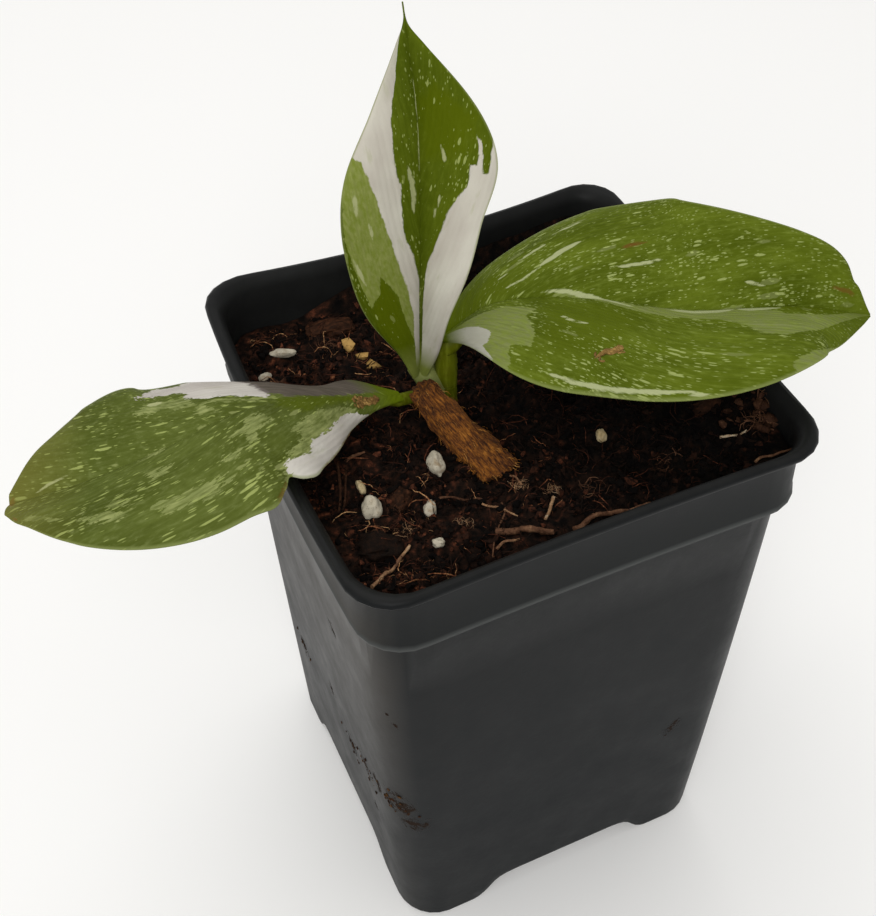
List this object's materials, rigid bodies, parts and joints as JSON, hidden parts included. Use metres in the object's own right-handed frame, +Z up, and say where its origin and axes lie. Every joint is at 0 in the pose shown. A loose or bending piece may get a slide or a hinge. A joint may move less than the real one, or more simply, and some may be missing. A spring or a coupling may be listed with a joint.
{
  "type": "potted philodendron",
  "caption": "Young white-variegated philodendron with three leaves on a corky stem cutting, growing in a square tapered dark plastic nursery pot filled with potting mix.",
  "frame": {"origin": "centre of the pot's underside, on the floor", "axes": "+Z up, +X to the right along the pot's front wall, +Y to the back"},
  "size_m": [0.1517, 0.0919, 0.1955],
  "materials": {
    "pot_plastic": "satin",
    "potting_mix": "rough",
    "perlite_white": "rough",
    "bark_brown": "rough",
    "twig_wood": "rough",
    "root_brown": "rough",
    "corky_stem": "rough",
    "green_stem": "satin",
    "variegated_leaf": "satin"
  },
  "bodies": {
    "root": {"bark_chip_1": "bark_brown", "bark_chip_2": "bark_brown", "bark_chip_3": "bark_brown", "bark_chip_4": "bark_brown", "leaf_left": "variegated_leaf", "leaf_right": "variegated_leaf", "leaf_upright": "variegated_leaf", "perlite_1": "perlite_white", "perlite_2": "perlite_white", "perlite_3": "perlite_white", "perlite_4": "perlite_white", "perlite_5": "perlite_white", "perlite_6": "perlite_white", "perlite_7": "perlite_white", "perlite_8": "perlite_white", "pot": "pot_plastic", "root_strand": "root_brown", "shoot": "green_stem", "soil": "potting_mix", "stem_cutting": "corky_stem", "twig_1": "twig_wood", "twig_2": "twig_wood", "twig_3": "twig_wood"}
  },
  "joints": []
}
